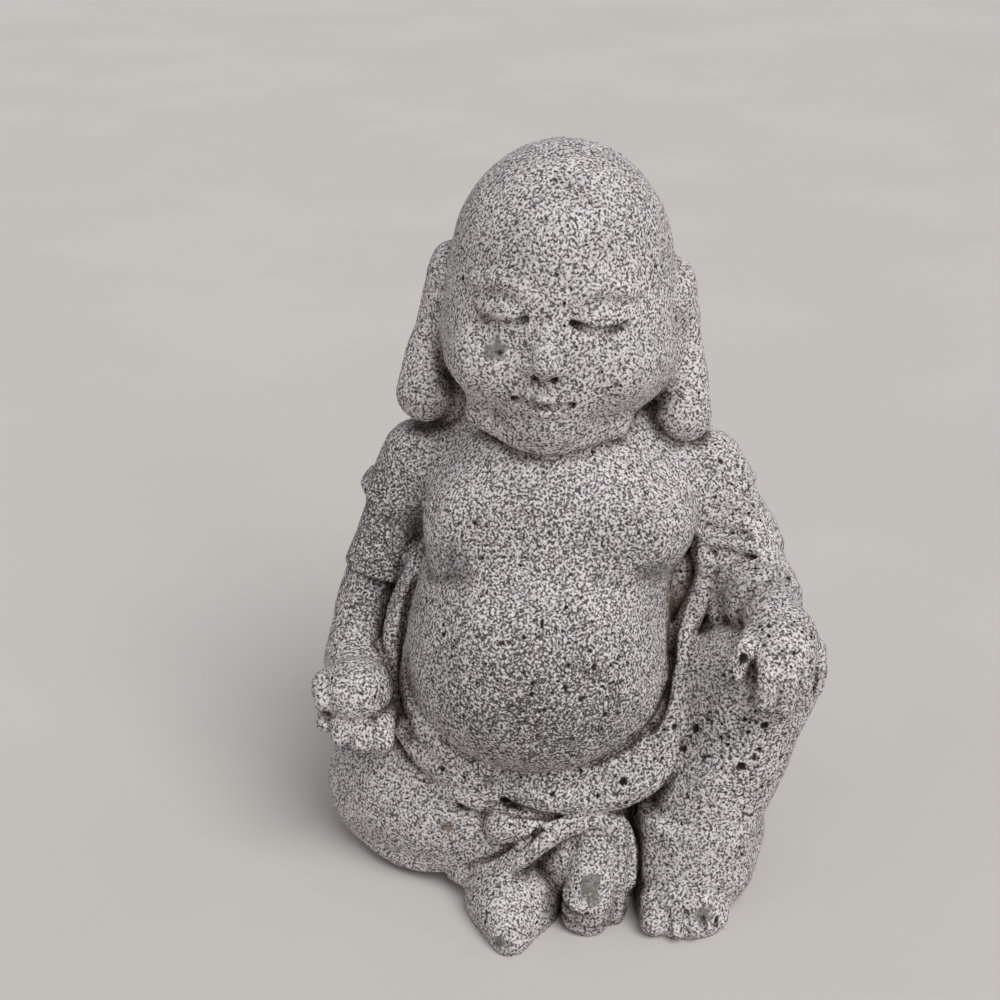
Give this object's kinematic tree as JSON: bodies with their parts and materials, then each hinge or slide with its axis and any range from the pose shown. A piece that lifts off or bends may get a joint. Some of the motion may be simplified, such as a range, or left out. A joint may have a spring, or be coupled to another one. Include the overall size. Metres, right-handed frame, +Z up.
{
  "type": "laughing buddha statue",
  "caption": "Seated laughing buddha in cast grit stone, one knee raised, robe open over a round belly, a ball in one hand.",
  "frame": {"origin": "on the flat underside, below the neck", "axes": "+Z up through the head; the figure faces -Y and its own left hand is on the +X side"},
  "size_m": [0.1366, 0.114, 0.1998],
  "materials": {
    "grit_stone": "unpolished salt-and-pepper grit bound with cement, matt and pitted"
  },
  "bodies": {
    "root": {"buddha_statue": "grit_stone"}
  },
  "joints": []
}
